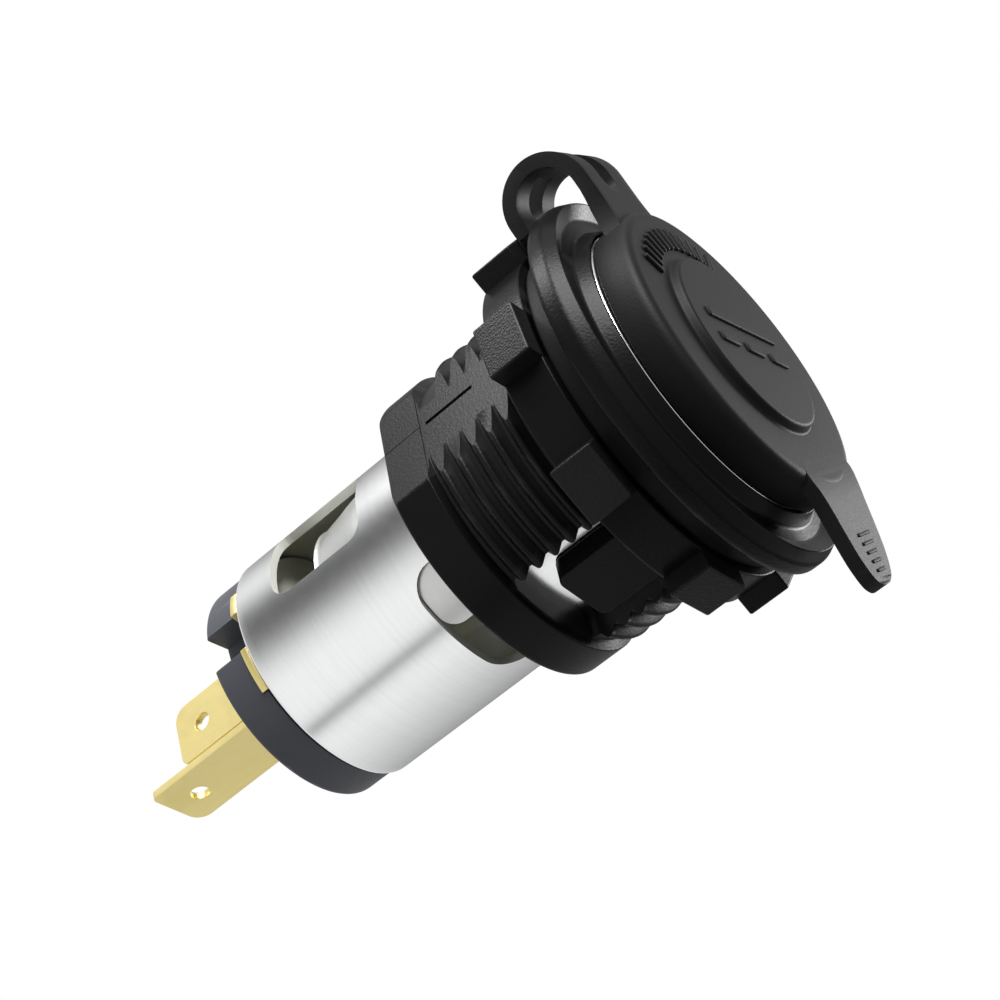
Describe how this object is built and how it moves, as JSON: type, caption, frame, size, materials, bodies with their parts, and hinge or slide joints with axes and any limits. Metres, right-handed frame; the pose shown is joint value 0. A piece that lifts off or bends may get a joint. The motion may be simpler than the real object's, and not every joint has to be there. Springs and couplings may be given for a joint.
{
  "type": "panel-mount 12 V power socket",
  "caption": "Round 12 V accessory power socket: flanged threaded housing with ring nut, metal barrel, rear blade terminals, and a soft cap on a looped strap.",
  "frame": {"origin": "on the socket's axis, in the plane of the cap ring's rear face that rests on the panel", "axes": "+Z along the bore, out through the cap; +Y towards the cap's strap; X along the cap's hinge line"},
  "size_m": [0.0374, 0.046, 0.0691],
  "materials": {
    "housing": "fine moulded texture",
    "ring_nut": "moulded, grained lug tops",
    "cap_rubber": "matt soft moulding",
    "shell_metal": "bright nickel plate",
    "insulator": "smooth moulded",
    "brass": "stamped, unlacquered"
  },
  "bodies": {
    "socket": {"housing": "housing", "cap_ring": "cap_rubber", "cap_strap": "cap_rubber", "socket_shell": "shell_metal", "rear_insulator": "insulator", "positive_terminal": "brass", "ground_terminal": "brass", "centre_contact": "brass", "centre_rivet": "brass"},
    "nut": {"ring_nut": "ring_nut"},
    "cap": {"cap": "cap_rubber"}
  },
  "joints": [
    {"name": "cap_hinge", "type": "hinge", "parent": "socket", "child": "cap", "pos_m": [0, 0.02235, 0.00475], "axis": [-1, 0, 0], "range_deg": [0, 150], "deforming": ["cap_strap"]},
    {"name": "nut_travel", "type": "slide", "parent": "socket", "child": "nut", "axis": [0, 0, -1], "range_m": [0, 0.01]}
  ]
}
